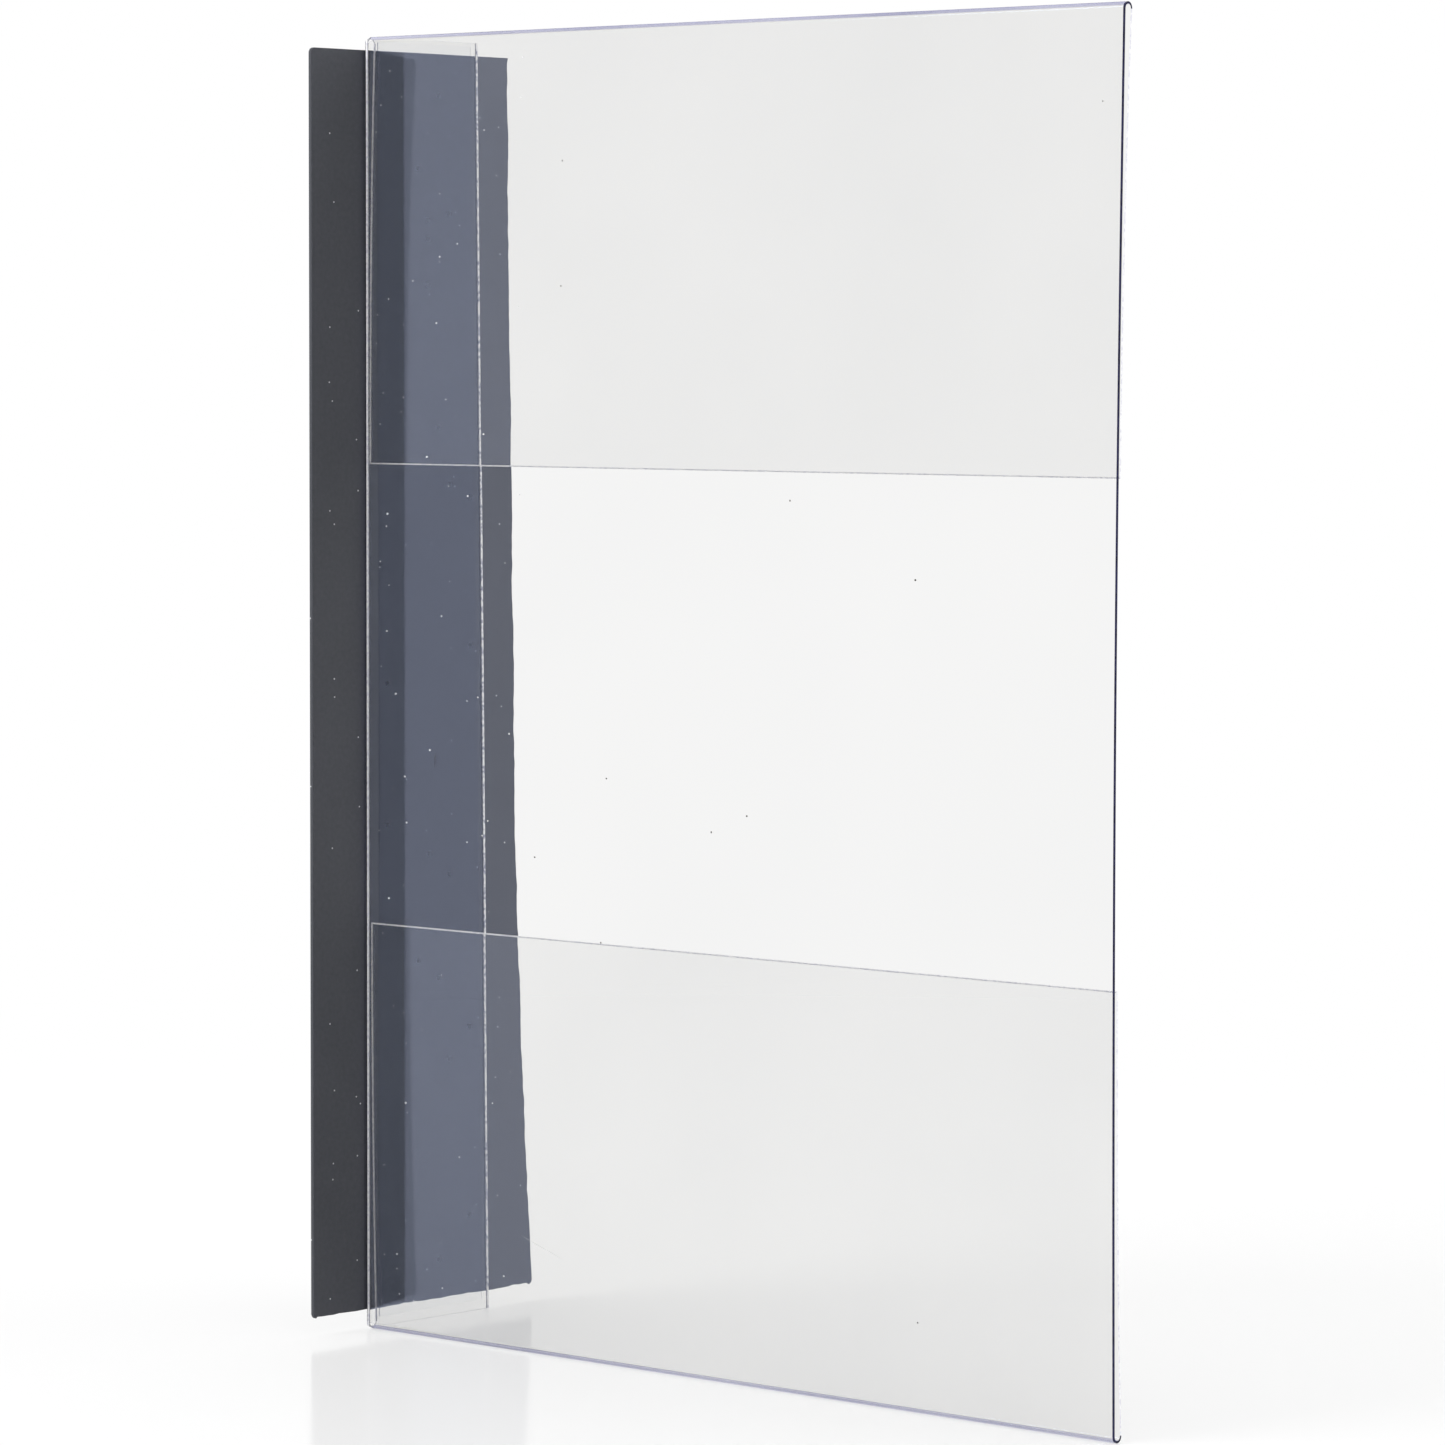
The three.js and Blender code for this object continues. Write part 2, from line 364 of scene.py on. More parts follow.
def flap_middle_line(depth, end_gap):
    """The flap's middle line past its turn: (behind, below the fold's crest)."""
    lean = math.atan((2 * TURN_INNER - end_gap) / FLAP_LEAN_RUN)
    centre = (TURN_OUTER, -TURN_OUTER)
    line = arc_points(centre, TURN_MID_RADIUS, math.pi, -lean, TURN_STEPS)
    start = line[-1]
    rest = SHEET + end_gap + SHEET / 2
    bend = (rest, start[1] - (start[0] - rest) / math.tan(lean))
    line += curve_points(start, bend, (rest, -depth), FLAP_STEPS)
    line.insert(-1, (rest, CUT_RIM - depth))
    return line


def corner_height(distance):
    """How far a rounded corner falls below the full height, at a distance from the side edge."""
    if distance >= CORNER_RADIUS:
        return 0.0
    off = CORNER_RADIUS - max(distance, 0.0)
    return CORNER_RADIUS - math.sqrt(CORNER_RADIUS ** 2 - off ** 2)


def side_columns():
    """Columns of the flange, from its free edge, and of the side fold."""
    columns = [("flange", 1), ("flange", 1 - FLANGE_RIM / FLANGE_WIDTH_TOP)]
    for i in range(FLANGE_STEPS - 1, 0, -1):
        columns.append(("flange", i / FLANGE_STEPS))
    mid_radius = FOLD_RADIUS - SHEET / 2
    centre = (FOLD_TANGENT, FOLD_RADIUS)
    start = WALL_ANGLE - 3 * math.pi / 2
    for point in arc_points(centre, mid_radius, start, -math.pi / 2, FOLD_STEPS):
        columns.append(("fold", point))
    columns.append(("plain", FLAP_START - FLAP_SLIT))
    return columns


def panel_places():
    """Where the panel's columns stand, with a narrow one at each side."""
    first = FLAP_START + CUT_RIM
    last = PANEL_WIDTH - PANEL_RIM
    places = [first + (last - first) * i / PANEL_STEPS for i in range(PANEL_STEPS + 1)]
    return [FLAP_START] + places + [PANEL_WIDTH]


def net_heights():
    """Heights of the net's rows, closer together near both ends."""
    foot = [0.0, TURN_OUTER] + END_ROWS
    low = END_ROWS[-1]
    high = PANEL_HEIGHT - low
    middle = [low + (high - low) * i / ROW_STEPS for i in range(1, ROW_STEPS)]
    return foot + middle + [PANEL_HEIGHT - value for value in reversed(foot)]


def inside_ends(height, drop):
    """A height, kept at least a drop away from both ends of the panel."""
    return min(max(height, drop), PANEL_HEIGHT - drop)


def place_on_sheet(column, height):
    """A point on the sheet's middle surface, from its column and its height."""
    kind, value = column
    if kind == "flange":
        reach = (flange_edge(height) - FOLD_TANGENT) * value
        drop = min(corner_height(reach), corner_height(SHEET / 2))
        outward = Vector((-math.sin(WALL_ANGLE), math.cos(WALL_ANGLE)))
        run = Vector((math.cos(WALL_ANGLE), math.sin(WALL_ANGLE)))
        flat = run * (FOLD_TANGENT + reach) - outward * (SHEET / 2)
        return from_panel(flat.x, flat.y, inside_ends(height, drop))
    if kind == "fold":
        along, behind = value
        return from_panel(along, behind, inside_ends(height, corner_height(along)))
    if kind == "plain":
        return from_panel(value, SHEET / 2, inside_ends(height, corner_height(value)))
    z = inside_ends(height, TURN_OUTER)
    return from_panel(value, SHEET / 2 + bow(value, z), z)


def add_flap(net, start, places, upper):
    """Carries the panel's columns on round the turn and down, or up, the flap."""
    depth = UPPER_FLAP_DEPTH if upper else LOWER_FLAP_DEPTH
    end_gap = UPPER_FLAP_END_GAP if upper else LOWER_FLAP_END_GAP
    last = start
    for behind, below in flap_middle_line(depth, end_gap)[1:]:
        z = PANEL_HEIGHT + below if upper else -below
        row = [net.verts.new(from_panel(along, behind + bow(along, z), z)) for along in places]
        for i in range(len(row) - 1):
            if upper:
                net.faces.new((last[i], last[i + 1], row[i + 1], row[i]))
            else:
                net.faces.new((last[i + 1], last[i], row[i], row[i + 1]))
        last = row


def make_sheet_net():
    """The folded sheet's middle surface as one open mesh."""
    net = bmesh.new()
    heights = net_heights()
    places = panel_places()
    columns = side_columns() + [("panel", along) for along in places]
    grid = []
    for column in columns:
        grid.append([net.verts.new(place_on_sheet(column, height)) for height in heights])
    for left, right in zip(grid, grid[1:]):
        for i in range(len(heights) - 1):
            net.faces.new((left[i], right[i], right[i + 1], left[i + 1]))
    panel_grid = grid[-len(places):]
    add_flap(net, [column[-1] for column in panel_grid], places, True)
    add_flap(net, [column[0] for column in panel_grid], places, False)
    bmesh.ops.remove_doubles(net, verts=net.verts, dist=SAME_POINT)
    bmesh.ops.dissolve_degenerate(net, edges=net.edges, dist=SAME_POINT)
    return net


def make_holder():
    """The folded clear sheet, thickened from its net, with a material for each kind of face."""
    piece = object_from(make_sheet_net(), "clear_sheet_folded")
    materials = piece.data.materials
    materials.append(make_clear_material("clear_sheet", FLAT_TINT))
    # The cut edges and the bends take painted highlight and painted shade
    materials.append(make_cut_edge_material("clear_cut_painted_highlight", PAINTED_HIGHLIGHT_EDGE, PAINTED_HIGHLIGHT_EDGE_SHINE))
    materials.append(make_cut_edge_material("clear_cut_painted_shade", PAINTED_SHADE_EDGE, PAINTED_SHADE_EDGE_SHINE))
    materials.append(make_clear_material("clear_sheet_bend_painted_shade", BENT_PAINTED_SHADE_TINT))
    materials.append(make_cut_edge_material("clear_cut_rough_painted_highlight", ROUGH_EDGE_PAINTED_HIGHLIGHT, PAINTED_HIGHLIGHT_EDGE_SHINE))
    thick = piece.modifiers.new("thickness", "SOLIDIFY")
    thick.thickness = SHEET
    thick.offset = 0
    thick.use_even_offset = True
    # Every cut rim starts out in painted highlight
    thick.material_offset_rim = PAINTED_HIGHLIGHT_CUT
    apply_modifiers(piece)
    sort_sheet_faces(piece)
    shade_by_angle(piece, SHEET_SHARP_ANGLE)
    return piece


def sheet_material_with_painted_light(along, behind, height, is_cut):
    """Which of the sheet's materials a face takes, from where it lies: the clear face, a painted
    highlight, a painted shade.
    """
    from_end = min(height, PANEL_HEIGHT - height)
    flap_depth = UPPER_FLAP_DEPTH if height > PANEL_HEIGHT / 2 else LOWER_FLAP_DEPTH
    # The flange is clear up to its roughly cut free edge, which takes painted highlight
    if behind > FLANGE_START:
        reach = along * math.cos(WALL_ANGLE) + behind * math.sin(WALL_ANGLE)
        return ROUGH_CUT_PAINTED_HIGHLIGHT if is_cut or reach > flange_edge(height) - FLANGE_RIM else CLEAR_FACE
    # Down the open side, the panel's own edge is painted shade
    if along > PANEL_WIDTH - PANEL_RIM and (behind < LAYER_SPLIT or from_end < TURN_OUTER):
        return PAINTED_SHADE_CUT if is_cut or behind < LAYER_SPLIT else CLEAR_FACE
    # Other cut rims keep the painted highlight
    if is_cut:
        return PAINTED_HIGHLIGHT_CUT
    # A flap has a painted highlight line along its free edge and beside the fold
    if behind > LAYER_SPLIT and from_end > TURN_OUTER and along > FLAP_START:
        near_end = from_end > flap_depth - CUT_RIM
        return PAINTED_HIGHLIGHT_CUT if near_end or along < FLAP_START + CUT_RIM else CLEAR_FACE
    # The side fold is tinted with painted shade, with a painted highlight on the crease where it runs
    # out into the panel
    if along < FOLD_TANGENT and behind < FOLD_RADIUS:
        angle = math.atan2(FOLD_RADIUS - behind, FOLD_TANGENT - along)
        return PAINTED_HIGHLIGHT_CUT if angle > CREASE_ANGLE else PAINTED_SHADE_BEND
    # The front beside the fold takes painted highlight too
    if along < FLAP_START and behind < LAYER_SPLIT:
        return PAINTED_HIGHLIGHT_CUT
    # The crests of the turns at the top and the foot take the painted shade tint too
    if from_end < CREST_DEPTH:
        return PAINTED_SHADE_BEND
    return CLEAR_FACE


def sort_sheet_faces(piece):
    """Gives the cut edges and the bends their painted highlight and painted shade, and the flat faces
    their clear material.
    """
    turn = math.pi / 2 - WALL_ANGLE
    for face in piece.data.polygons:
        x = face.center.x - WALL_X
        y = face.center.y - FOLD_Y
        height = face.center.z - FOOT_Z
        along = x * math.cos(turn) + y * math.sin(turn)
        behind = y * math.cos(turn) - x * math.sin(turn) - bow(along, height)
        face.material_index = sheet_material_with_painted_light(along, behind, height, face.material_index == PAINTED_HIGHLIGHT_CUT)


# Magnetic strip: a wavy, hand-cut outline with softened edges

def strip_outline():
    """Outline in the wall's plane, as (along the flange from the fold, height)."""
    low = STRIP_FOOT_HEIGHT
    high = low + STRIP_HEIGHT
    middle = low + STRIP_FLARE_HEIGHT
    rear_top = flange_edge(high) + STRIP_REAR_REACH_TOP
    rear_middle = flange_edge(middle) + STRIP_REAR_REACH_MIDDLE
    rear_bottom = flange_edge(low) + STRIP_REAR_REACH_BOTTOM
    slope = (rear_top - rear_middle) / (high - middle)
    bend = (rear_middle - slope * STRIP_FLARE_SOFTNESS, middle - STRIP_FLARE_SOFTNESS)
    corner = STRIP_CORNER_RADIUS
    front = corner - STRIP_FRONT_REACH
    rear = rear_bottom - corner
    points = arc_points((front, low + corner), corner, -math.pi, -math.pi / 2, STRIP_CORNER_STEPS)
    points += line_points((front, low), (rear, low), STRIP_FOOT_STEPS)
    points += arc_points((rear, low + corner), corner, -math.pi / 2, 0, STRIP_CORNER_STEPS)[1:]
    points += curve_points(points[-1], bend, (rear_middle, middle), STRIP_FLARE_STEPS)
    points += line_points((rear_middle, middle), (rear_top, high), STRIP_SIDE_STEPS)
    points += arc_points((front, high - corner), corner, math.pi / 2, math.pi, STRIP_CORNER_STEPS)
    return [hand_cut(y, z, low, high) for y, z in points]


def waver(y, z, waves, noise_slice):
    """A smooth random value from -1 to 1, the same for the same place."""
    return noise.noise(Vector((y / MM * waves[0], z / MM * waves[1], noise_slice)))


def hand_cut(y, z, low, high):
    """Moves a point of the strip's foot or rear edge by the waver of a hand-held knife."""
    slow = waver(y, z, SLOW_WAVES_A_MM, SLOW_WAVE_SLICE)
    quick = waver(y, z, QUICK_WAVES_A_MM, QUICK_WAVE_SLICE)
    shift = STRIP_EDGE_WAVE * (SLOW_WAVE_SHARE * slow - SLOW_WAVE_SHARE + QUICK_WAVE_SHARE * quick)
    if z <= low + ON_THE_FOOT:
        return (y, z - shift)
    if y > flange_edge(z) and z < high:
        return (y + shift, z)
    return (y, z)


def make_plate(name, outline, back_x, front_x, edge):
    """A flat plate between two planes of X, cut to an outline, with a small bevel."""
    mesh = bmesh.new()
    face = mesh.faces.new([mesh.verts.new((back_x, FOLD_Y + y, FOOT_Z + z)) for y, z in outline])
    grown = bmesh.ops.extrude_face_region(mesh, geom=[face])
    moved = [item for item in grown["geom"] if isinstance(item, bmesh.types.BMVert)]
    bmesh.ops.translate(mesh, verts=moved, vec=(front_x - back_x, 0, 0))
    piece = object_from(mesh, name)
    bevel = piece.modifiers.new("edge", "BEVEL")
    bevel.width = edge
    bevel.segments = PLATE_BEVEL_SEGMENTS
    bevel.limit_method = "ANGLE"
    bevel.angle_limit = PLATE_BEVEL_ANGLE
    apply_modifiers(piece)
    shade_by_angle(piece, PLATE_SHARP_ANGLE)
    return piece


def make_strip():
    """The dark magnetic strip, between the planes that the frame gives."""
    outline = strip_outline()
    piece = make_plate("magnetic_strip_cut", outline, strip_low[0], strip_high[0], STRIP_BEVEL)
    piece.data.materials.append(make_magnet_material())
    return piece


def make_tape():
    """The clear tape, inside the flange's edges by its margins."""
    high = PANEL_HEIGHT - TAPE_TOP_MARGIN
    low = TAPE_BOTTOM_MARGIN
    fold_side = FOLD_TANGENT + TAPE_FOLD_MARGIN
    outline = [
        (fold_side, low),
        (flange_edge(low) - TAPE_EDGE_MARGIN, low),
        (flange_edge(high) - TAPE_EDGE_MARGIN, high),
        (fold_side, high),
    ]
    piece = make_plate("adhesive_tape_film", outline, tape_low[0], tape_high[0], TAPE_BEVEL)
    piece.data.materials.append(make_tape_material())
    return piece


# Wear and dust on the panel's front

def add_flake(mesh, outline):
    """A thin flat flake on the panel's front, from its outline as (along, height)."""
    rings = []
    for depth in (-WEAR_GAP, -WEAR_GAP - WEAR_THICKNESS):
        ring = [mesh.verts.new(from_panel(x, depth + bow(x, z), z)) for x, z in outline]
        mesh.faces.new(ring)
        rings.append(ring)
    for i in range(len(outline)):
        j = (i + 1) % len(outline)
        mesh.faces.new((rings[0][i], rings[0][j], rings[1][j], rings[1][i]))


def make_wear_line(name, start, end, width, colours):
    """A thin line, full in its middle part and pointed at both ends."""
    run = Vector((end[0] - start[0], end[1] - start[1]))
    across = Vector((-run.y, run.x)).normalized() * width / 2
    near = WEAR_POINT_SHARE
    far = 1 - WEAR_POINT_SHARE
    outline = []
    for share, side in ((0, 0), (near, -1), (far, -1), (1, 0), (far, 1), (near, 1)):
        x = start[0] + run.x * share + across.x * side
        z = start[1] + run.y * share + across.y * side
        outline.append((x, z))
    mesh = bmesh.new()
    add_flake(mesh, outline)
    piece = object_from(mesh, name)
    piece.data.materials.append(make_wear_material(name, colours))
    return piece


def make_dust(name, count, reach, radii, seed, colours):
    """Small flat flakes scattered over a stretch of the panel's front."""
    draw = random.Random(seed)
    mesh = bmesh.new()
    for _ in range(count):
        along = draw.uniform(*reach)
        height = draw.uniform(DUST_MARGIN, PANEL_HEIGHT - DUST_MARGIN)
        radius = draw.uniform(*radii)
        stretch = draw.uniform(*FLAKE_STRETCH)
        outline = []
        for i in range(FLAKE_SIDES):
            angle = math.tau * i / FLAKE_SIDES
            x = along + radius * stretch * math.cos(angle)
            outline.append((x, height + radius * math.sin(angle)))
        add_flake(mesh, outline)
    piece = object_from(mesh, name)
    piece.data.materials.append(make_wear_material(name, colours))
    return piece


# Materials

def new_material(name):
    material = bpy.data.materials.new(name)
    material.use_nodes = True
    tree = material.node_tree
    shader = tree.nodes["Principled BSDF"]
    return material, tree, shader


def object_coords(tree):
    return tree.nodes.new("ShaderNodeTexCoord").outputs["Object"]


def noise_node(tree, coords, scale, kind):
    """A noise pattern of a scale, its kind given as (detail, roughness)."""
    node = tree.nodes.new("ShaderNodeTexNoise")
    node.inputs["Scale"].default_value = scale
    node.inputs["Detail"].default_value = kind[0]
    node.inputs["Roughness"].default_value = kind[1]
    tree.links.new(coords, node.inputs["Vector"])
    return node.outputs["Fac"]


def ramp_node(tree, value, places, colours):
    """Turns a value into a colour, from the first at one place to the second at the other."""
    node = tree.nodes.new("ShaderNodeValToRGB")
    for element, place, colour in zip(node.color_ramp.elements, places, colours):
        element.position = place
        element.color = colour
    tree.links.new(value, node.inputs["Fac"])
    return node.outputs["Color"]


def range_node(tree, value, levels):
    """Spreads a value from 0 to 1 over a low and a high level."""
    node = tree.nodes.new("ShaderNodeMapRange")
    node.inputs["To Min"].default_value = levels[0]
    node.inputs["To Max"].default_value = levels[1]
    tree.links.new(value, node.inputs["Value"])
    return node.outputs["Result"]


def math_node(tree, operation, first, second):
    """A maths node; either of its values may be a socket or a number."""
    node = tree.nodes.new("ShaderNodeMath")
    node.operation = operation
    for place, value in enumerate((first, second)):
        if isinstance(value, bpy.types.NodeSocket):
            tree.links.new(value, node.inputs[place])
        else:
            node.inputs[place].default_value = value
    return node.outputs[0]


def make_dust_group():
    """Sparse small specks as a mask. A share of the cells holds one, on faces across X or Y."""
    group = bpy.data.node_groups.new("dust_specks", "ShaderNodeTree")
    face = group.interface
    face.new_socket("Vector", in_out="INPUT", socket_type="NodeSocketVector")
    for name in ("Scale", "Share", "Radius"):
        face.new_socket(name, in_out="INPUT", socket_type="NodeSocketFloat")
    face.new_socket("Mask", in_out="OUTPUT", socket_type="NodeSocketFloat")
    source = group.nodes.new("NodeGroupInput").outputs
    sink = group.nodes.new("NodeGroupOutput")
    links = group.links
    split = group.nodes.new("ShaderNodeSeparateXYZ")
    links.new(source["Vector"], split.inputs["Vector"])
    flat = group.nodes.new("ShaderNodeCombineXYZ")
    side = math_node(group, "ADD", split.outputs["X"], split.outputs["Y"])
    links.new(side, flat.inputs["X"])
    links.new(split.outputs["Z"], flat.inputs["Y"])
    cells = group.nodes.new("ShaderNodeTexVoronoi")
    cells.feature = "F1"
    cells.voronoi_dimensions = "2D"
    links.new(flat.outputs["Vector"], cells.inputs["Vector"])
    links.new(source["Scale"], cells.inputs["Scale"])
    part = group.nodes.new("ShaderNodeSeparateColor")
    links.new(cells.outputs["Color"], part.inputs["Color"])
    near = math_node(group, "LESS_THAN", cells.outputs["Distance"], source["Radius"])
    chosen = math_node(group, "LESS_THAN", part.outputs["Red"], source["Share"])
    links.new(math_node(group, "MULTIPLY", near, chosen), sink.inputs["Mask"])
    return group


def dust_mask(tree, coords, scale, share, radius):
    """Places the specks in a material, with its own scale, share and size."""
    node = tree.nodes.new("ShaderNodeGroup")
    node.node_tree = DUST
    node.inputs["Scale"].default_value = scale
    node.inputs["Share"].default_value = share
    node.inputs["Radius"].default_value = radius
    tree.links.new(coords, node.inputs["Vector"])
    return node.outputs["Mask"]


def make_clear_material(name, tints):
    """Clear sheet with a faint, slowly changing tint and slow smears; for the bends the dark tint is
    painted shade.
    """
    material, tree, shader = new_material(name)
    shader.inputs["Transmission Weight"].default_value = 1.0
    shader.inputs["IOR"].default_value = SHEET_IOR
    shader.inputs["Specular Tint"].default_value = SHEEN_TINT
    shader.inputs["Metallic"].default_value = 0.0
    coords = object_coords(tree)
    tint = noise_node(tree, coords, TINT_SCALE, PLAIN_NOISE)
    tree.links.new(ramp_node(tree, tint, WIDE_RAMP, tints), shader.inputs["Base Color"])
    smear = noise_node(tree, coords, SMEAR_SCALE, SMEAR_NOISE)
    rough = range_node(tree, smear, (0.0, SMEAR_ROUGHNESS))
    tree.links.new(rough, shader.inputs["Roughness"])
    depth = tree.nodes.new("ShaderNodeVolumeAbsorption")
    depth.inputs["Color"].default_value = DEPTH_COLOUR
    depth.inputs["Density"].default_value = DEPTH_DENSITY
    tree.links.new(depth.outputs["Volume"], tree.nodes["Material Output"].inputs["Volume"])
    return material


def make_cut_edge_material(name, colours, shine):
    """A cut edge or crease of the sheet: frosted, with fine tool marks, its colour a painted highlight
    on the light and rough edges and painted shade on the dark edge.
    """
    material, tree, shader = new_material(name)
    shader.inputs["Specular IOR Level"].default_value = shine
    shader.inputs["IOR"].default_value = EDGE_IOR
    shader.inputs["Metallic"].default_value = 0.0
    marks = noise_node(tree, object_coords(tree), CUT_MARK_SCALE, MARK_NOISE)
    colour = ramp_node(tree, marks, CUT_MARK_RAMP, colours)
    tree.links.new(colour, shader.inputs["Base Color"])
    tree.links.new(range_node(tree, marks, CUT_ROUGHNESS), shader.inputs["Roughness"])
    return material


def make_magnet_material():
    """Matt dark sheet with a fine grain and light dust."""
    material, tree, shader = new_material("magnet_sheet")
    coords = object_coords(tree)
    grain = noise_node(tree, coords, GRAIN_SCALE, GRAIN_NOISE)
    cloud = noise_node(tree, coords, CLOUD_SCALE, CLOUD_NOISE)
    fine = math_node(tree, "MULTIPLY", grain, GRAIN_SHARE)
    slow = math_node(tree, "MULTIPLY", cloud, 1 - GRAIN_SHARE)
    both = math_node(tree, "ADD", fine, slow)
    body = ramp_node(tree, both, MIDDLE_RAMP, MAGNET_COLOURS)
    specks = dust_mask(tree, coords, MAGNET_DUST_SCALE, MAGNET_DUST_SHARE, MAGNET_DUST_RADIUS)
    mix = tree.nodes.new("ShaderNodeMix")
    mix.data_type = "RGBA"
    tree.links.new(specks, mix.inputs["Factor"])
    tree.links.new(body, mix.inputs["A"])
    mix.inputs["B"].default_value = MAGNET_DUST_COLOUR
    tree.links.new(mix.outputs["Result"], shader.inputs["Base Color"])
    bump = tree.nodes.new("ShaderNodeBump")
    bump.inputs["Strength"].default_value = GRAIN_BUMP
    bump.inputs["Distance"].default_value = GRAIN_DEPTH
    tree.links.new(grain, bump.inputs["Height"])
    tree.links.new(bump.outputs["Normal"], shader.inputs["Normal"])
    tree.links.new(range_node(tree, cloud, MAGNET_ROUGHNESS), shader.inputs["Roughness"])
    return material


def make_wear_material(name, colours):
    """Plain matt scratches, marks and dust, uneven in colour."""
    material, tree, shader = new_material(name)
    broken = noise_node(tree, object_coords(tree), WEAR_SCALE, MARK_NOISE)
    colour = ramp_node(tree, broken, MIDDLE_RAMP, colours)
    tree.links.new(colour, shader.inputs["Base Color"])
    shader.inputs["Roughness"].default_value = WEAR_ROUGHNESS
    return material


def make_tape_material():
    """Clear adhesive film with small trapped bubbles."""
    material, tree, shader = new_material("clear_tape")
    shader.inputs["Transmission Weight"].default_value = 1.0
    shader.inputs["IOR"].default_value = TAPE_IOR
    shader.inputs["Specular Tint"].default_value = SHEEN_TINT
    shader.inputs["Base Color"].default_value = TAPE_COLOUR
    bubbles = dust_mask(tree, object_coords(tree), BUBBLE_SCALE, BUBBLE_SHARE, BUBBLE_RADIUS)
    tree.links.new(range_node(tree, bubbles, TAPE_ROUGHNESS), shader.inputs["Roughness"])
    return material


def white_by_distance(tree, coords):
    """How white the table is to the eye: a fixed share near the part, and all of it far out."""
    reach = tree.nodes.new("ShaderNodeVectorMath")
    reach.operation = "LENGTH"
    tree.links.new(coords, reach.inputs[0])
    fade = tree.nodes.new("ShaderNodeMapRange")
    fade.interpolation_type = "SMOOTHSTEP"
    fade.inputs["From Min"].default_value = TABLE_FADE_START
    fade.inputs["From Max"].default_value = TABLE_FADE_END
    fade.inputs["To Min"].default_value = TABLE_WHITE_NEAR
    fade.inputs["To Max"].default_value = 1.0
    tree.links.new(reach.outputs["Value"], fade.inputs["Value"])
    return fade.outputs["Result"]


def make_floor_material():
    """A glossy white table: faint shadows and mirror images near the part, plain white far out."""
    material, tree, shader = new_material("white_table")
    coords = object_coords(tree)
    cloud = noise_node(tree, coords, TABLE_CLOUD_SCALE, PLAIN_NOISE)
    colour = ramp_node(tree, cloud, WIDE_RAMP, TABLE_COLOURS)
    tree.links.new(colour, shader.inputs["Base Color"])
    shader.inputs["Roughness"].default_value = TABLE_ROUGHNESS
    glow = tree.nodes.new("ShaderNodeEmission")
    glow.inputs["Color"].default_value = WHITE
    glow.inputs["Strength"].default_value = 1.0
    share = math_node(tree, "MULTIPLY", seen_directly(tree), white_by_distance(tree, coords))
    mix = tree.nodes.new("ShaderNodeMixShader")
    tree.links.new(share, mix.inputs["Fac"])
    tree.links.new(shader.outputs["BSDF"], mix.inputs[1])
    tree.links.new(glow.outputs["Emission"], mix.inputs[2])
    tree.links.new(mix.outputs["Shader"], tree.nodes["Material Output"].inputs["Surface"])
    return material


def seen_directly(tree):
    """1 for what the camera sees, also in a mirror or through the clear sheet, and 0 otherwise."""
    path = tree.nodes.new("ShaderNodeLightPath").outputs
    through = math_node(tree, "MAXIMUM", path["Is Camera Ray"], path["Is Transmission Ray"])
    return math_node(tree, "MAXIMUM", through, path["Is Glossy Ray"])


# Stage

def make_floor():
    mesh = bmesh.new()
    bmesh.ops.create_grid(mesh, x_segments=1, y_segments=1, size=TABLE_SIZE / 2)
    data = bpy.data.meshes.new("table")
    mesh.to_mesh(data)
    mesh.free()
    floor = new_object("table", data)
    floor.location.z = FOOT_Z
    floor.data.materials.append(make_floor_material())


def make_world():
    """White to the eye, also in mirrors and through the sheet, and plain light for the part."""
    world = bpy.data.worlds.new("studio")
    bpy.context.scene.world = world
    world.use_nodes = True
    tree = world.node_tree
    background = tree.nodes["Background"]
    background.inputs["Color"].default_value = WHITE
    level = range_node(tree, seen_directly(tree), (WORLD_LEVEL, 1.0))
    tree.links.new(level, background.inputs["Strength"])


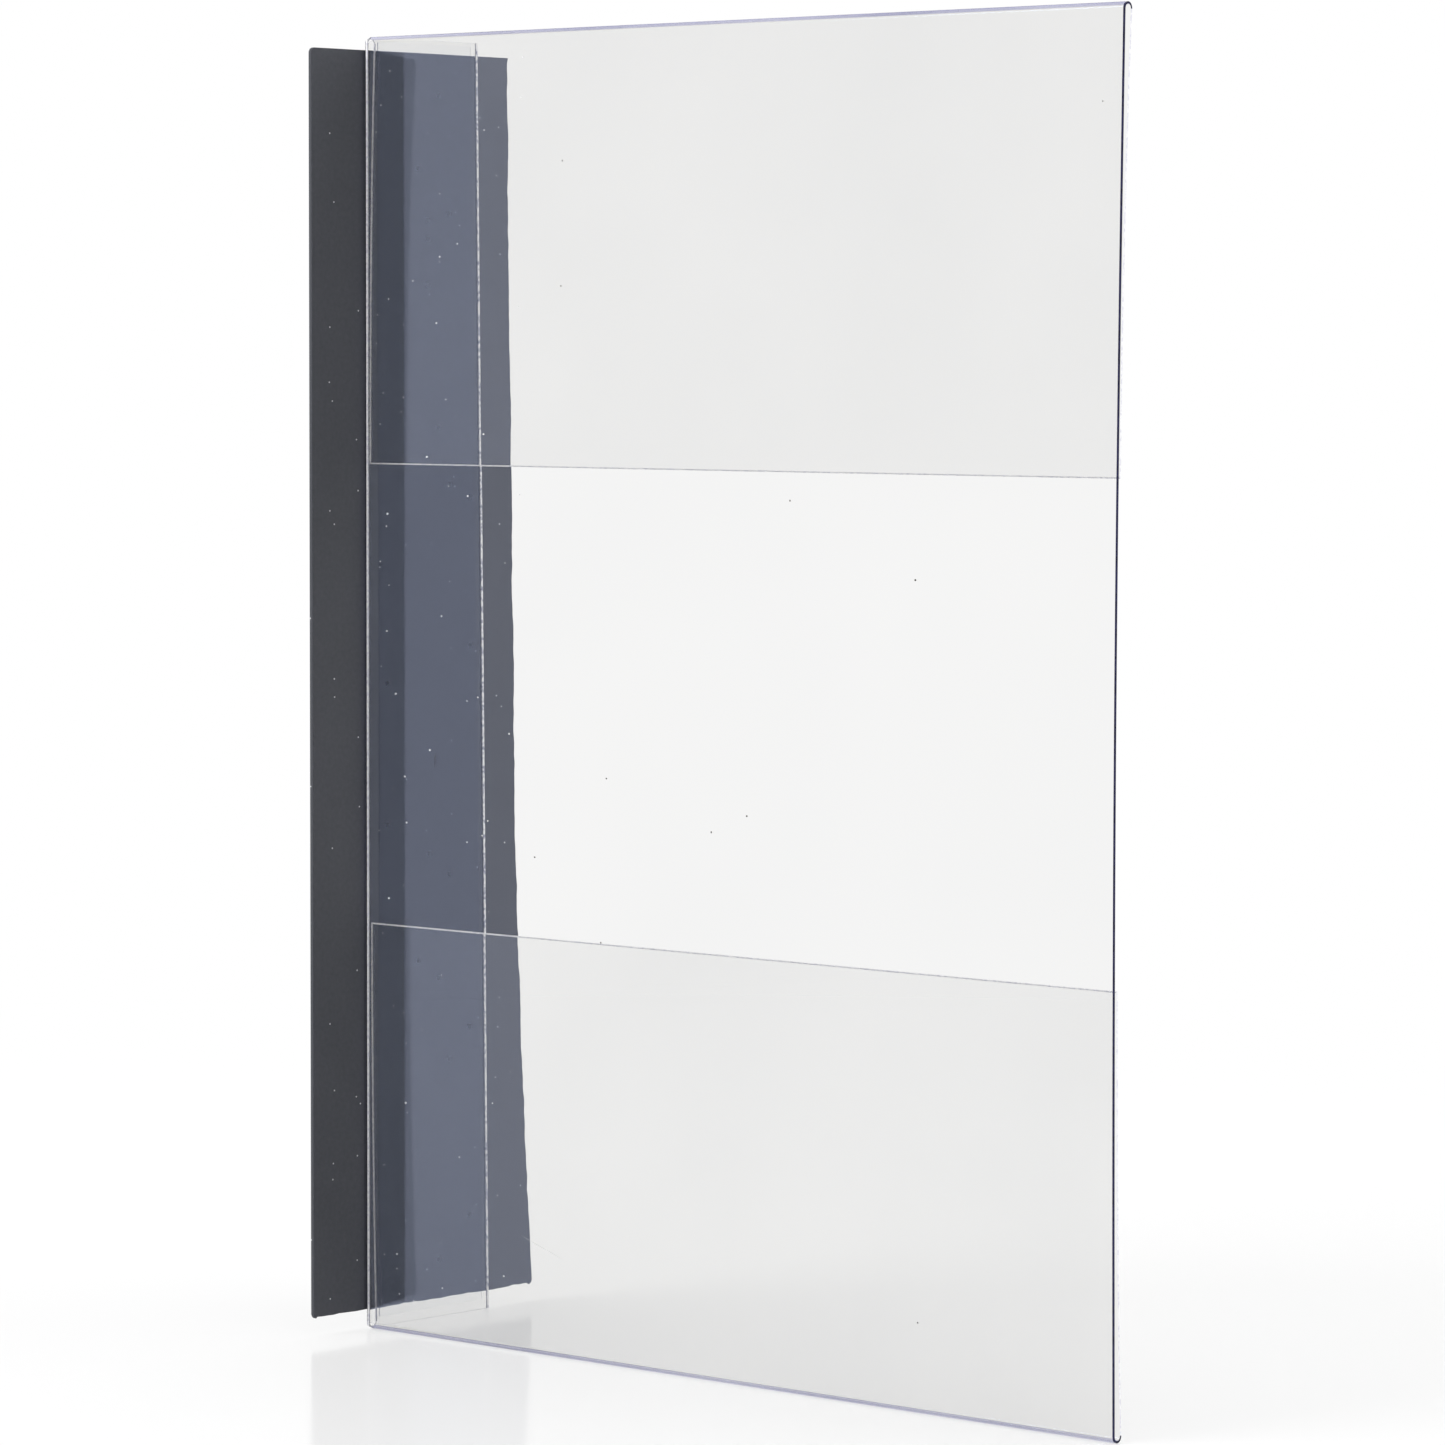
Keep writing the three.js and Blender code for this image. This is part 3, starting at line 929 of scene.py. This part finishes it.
def add_area_light(name, place, target, size, power):
    light = bpy.data.lights.new(name, "AREA")
    light.shape = "SQUARE"
    light.size = size
    light.energy = power
    lamp = bpy.data.objects.new(name, light)
    lamp.location = place
    lamp.rotation_euler = (target - place).to_track_quat("-Z", "Y").to_euler()
    lamp.visible_glossy = False
    bpy.context.scene.collection.objects.link(lamp)


def make_camera():
    data = bpy.data.cameras.new("camera")
    data.lens = CAMERA_LENS_MM
    data.sensor_width = CAMERA_SENSOR_MM
    data.sensor_fit = "HORIZONTAL"
    camera = bpy.data.objects.new("camera", data)
    place = Matrix.Translation(Vector((WALL_X, FOLD_Y, FOOT_Z)) + CAMERA_PLACE)
    heading = Matrix.Rotation(CAMERA_HEADING, 4, "Z")
    pitch = Matrix.Rotation(math.pi / 2 + CAMERA_PITCH, 4, "X")
    roll = Matrix.Rotation(CAMERA_ROLL, 4, "Z")
    camera.matrix_world = place @ heading @ pitch @ roll
    bpy.context.scene.collection.objects.link(camera)
    bpy.context.scene.camera = camera


DUST = make_dust_group()
make_camera()
make_world()
make_floor()
centre = Vector((0, 0, FOOT_Z + PANEL_HEIGHT / 2))
add_area_light("key", centre + KEY_PLACE, centre, KEY_SIZE, KEY_POWER)
add_area_light("fill", centre + FILL_PLACE, centre, FILL_SIZE, FILL_POWER)

holder = make_holder()
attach(holder, "root")
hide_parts("clear_holder")

strip = make_strip()
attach(strip, "root")
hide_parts("magnetic_strip")

tape = make_tape()
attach(tape, "root")
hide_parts("adhesive_tape")

wear = [
    make_wear_line("panel_scratch", SCRATCH_START, SCRATCH_END, SCRATCH_WIDTH, SCRATCH_COLOURS),
    make_wear_line("panel_mark", MARK_START, MARK_END, MARK_WIDTH, MARK_COLOURS),
    make_dust("panel_dust_pale", PALE_DUST_COUNT, PALE_DUST_REACH, PALE_DUST_RADIUS,
              DUST_SEED, PALE_DUST_COLOURS),
    make_dust("panel_dust_dark", DARK_DUST_COUNT, DARK_DUST_REACH, DARK_DUST_RADIUS,
              DUST_SEED + 1, DARK_DUST_COLOURS),
]
for piece in wear:
    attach(piece, "root")

bpy.context.scene.view_settings.view_transform = "Standard"
